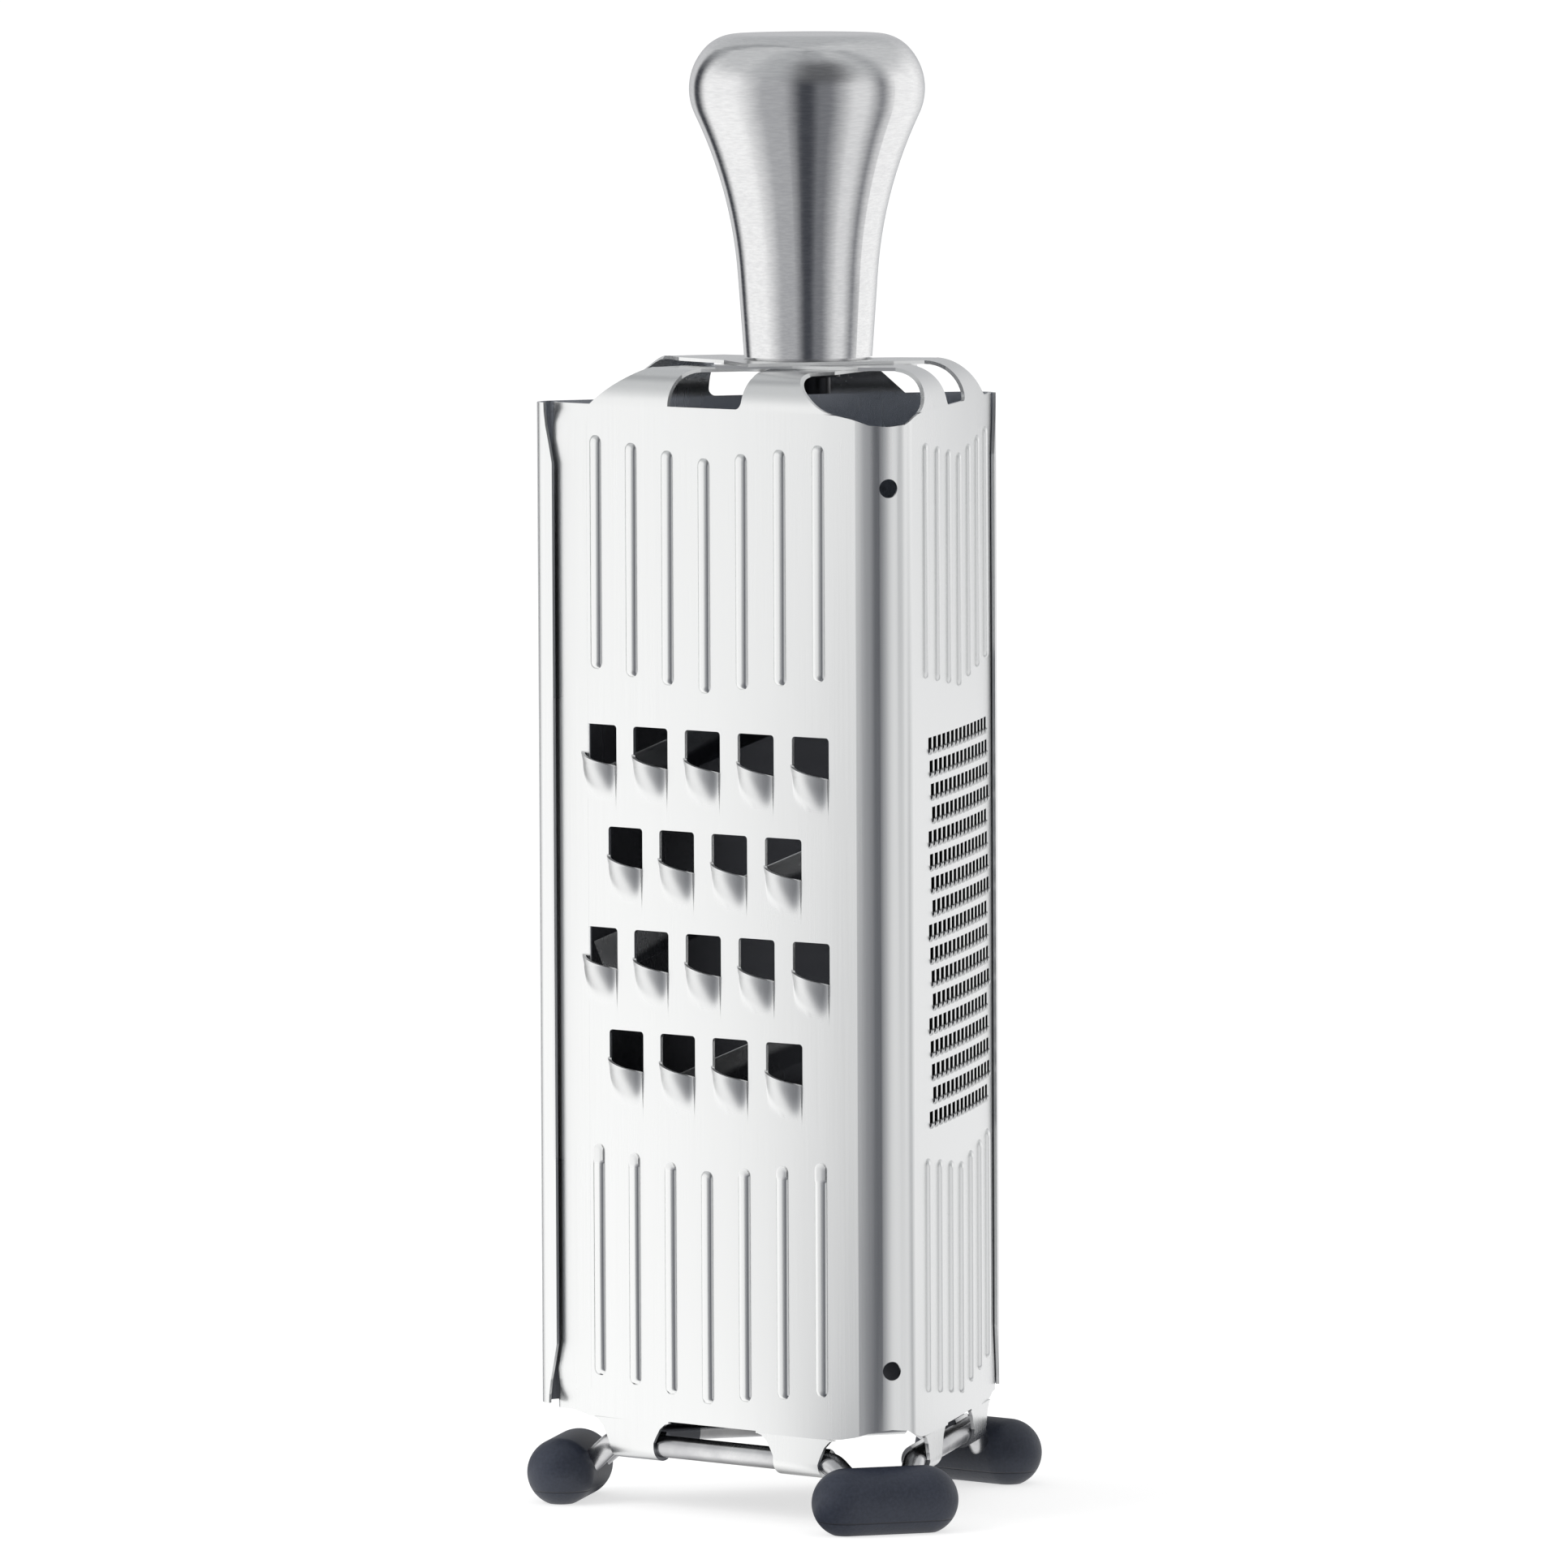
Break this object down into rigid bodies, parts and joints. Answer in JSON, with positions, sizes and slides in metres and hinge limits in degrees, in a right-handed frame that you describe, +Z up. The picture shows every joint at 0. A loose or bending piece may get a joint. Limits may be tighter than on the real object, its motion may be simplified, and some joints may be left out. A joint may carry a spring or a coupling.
{
  "type": "box grater",
  "caption": "Tall three-sided steel box grater with coarse teeth, fine slots and slicing blades, a turned knob on top, and a bent wire base on rubber feet.",
  "frame": {"origin": "middle of the whole object's box at the floor, so the tower's own axis is 8.5 mm in front of it and 0.3 mm to the right", "axes": "+Z up along the tower, -Y out of the coarse face, +X to the right as one looks at the coarse face"},
  "size_m": [0.1096, 0.0986, 0.3],
  "materials": {
    "sheet_steel": "satin, fine upright grain",
    "knob_steel": "turned, brushed round the axis",
    "wire_steel": "drawn wire, half bright",
    "fixing_steel": "plain",
    "core_metal": "turned",
    "foot_rubber": "matt, very dark blue"
  },
  "bodies": {
    "root": {"front_sheet": "sheet_steel", "rear_sheet": "sheet_steel", "foot_ring": "wire_steel", "foot_front": "foot_rubber", "foot_rear": "foot_rubber", "foot_left": "foot_rubber", "knob": "knob_steel", "knob_core": "core_metal", "clamp_washer": "fixing_steel", "screw": "fixing_steel"}
  },
  "joints": []
}
